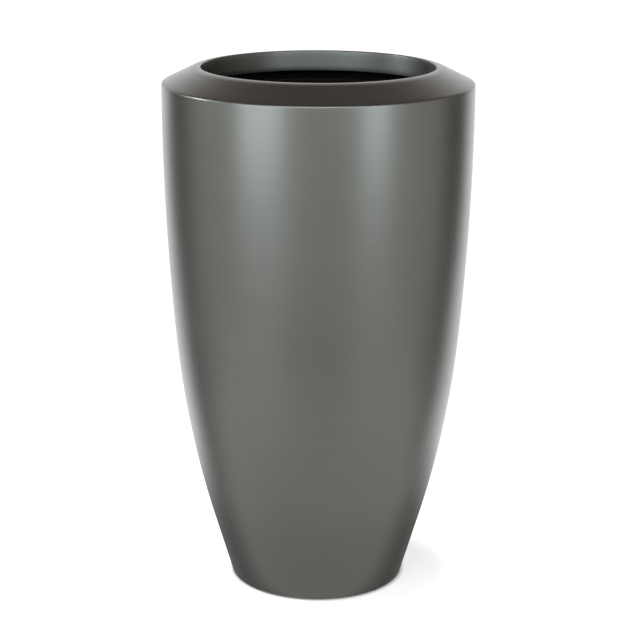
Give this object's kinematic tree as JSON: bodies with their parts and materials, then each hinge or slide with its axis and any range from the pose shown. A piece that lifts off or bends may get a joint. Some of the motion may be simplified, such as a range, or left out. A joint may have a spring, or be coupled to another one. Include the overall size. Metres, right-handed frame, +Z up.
{
  "type": "floor planter",
  "caption": "Tall round tapered floor planter with a sharp shoulder, sloped collar, turned-down lip, lift-out drain shelf and drain plug.",
  "frame": {"origin": "centre of the planter's footprint, on the surface that its feet stand on", "axes": "+Z up along the planter's own axis; the form is round, so +X and +Y are set by the feet, which stand on the diagonals"},
  "size_m": [0.533, 0.533, 0.914],
  "materials": {
    "lacquered_laminate": "satin gunmetal metallic lacquer over glass laminate, raw dark laminate inside",
    "bonding_paste": "cured bonding paste, matt",
    "raw_laminate": "raw laminate, matt",
    "shelf_plastic": "moulded black plastic, lightly textured",
    "rubber": "black rubber, matt"
  },
  "bodies": {
    "planter": {"planter_shell": "lacquered_laminate", "shoulder_collar": "lacquered_laminate", "collar_bond": "bonding_paste", "shelf_cleat_1": "raw_laminate", "shelf_cleat_2": "raw_laminate", "shelf_cleat_3": "raw_laminate", "shelf_cleat_4": "raw_laminate", "foot_pad_1": "rubber", "foot_pad_2": "rubber", "foot_pad_3": "rubber", "foot_pad_4": "rubber"},
    "shelf": {"planting_shelf": "shelf_plastic"},
    "plug": {"drain_plug": "rubber"}
  },
  "joints": [
    {"name": "shelf_lift", "type": "slide", "parent": "planter", "child": "shelf", "axis": [0, 0, 1], "range_m": [0, 0.78]},
    {"name": "plug_lift", "type": "slide", "parent": "planter", "child": "plug", "axis": [0, 0, 1], "range_m": [0, 0.09]}
  ]
}
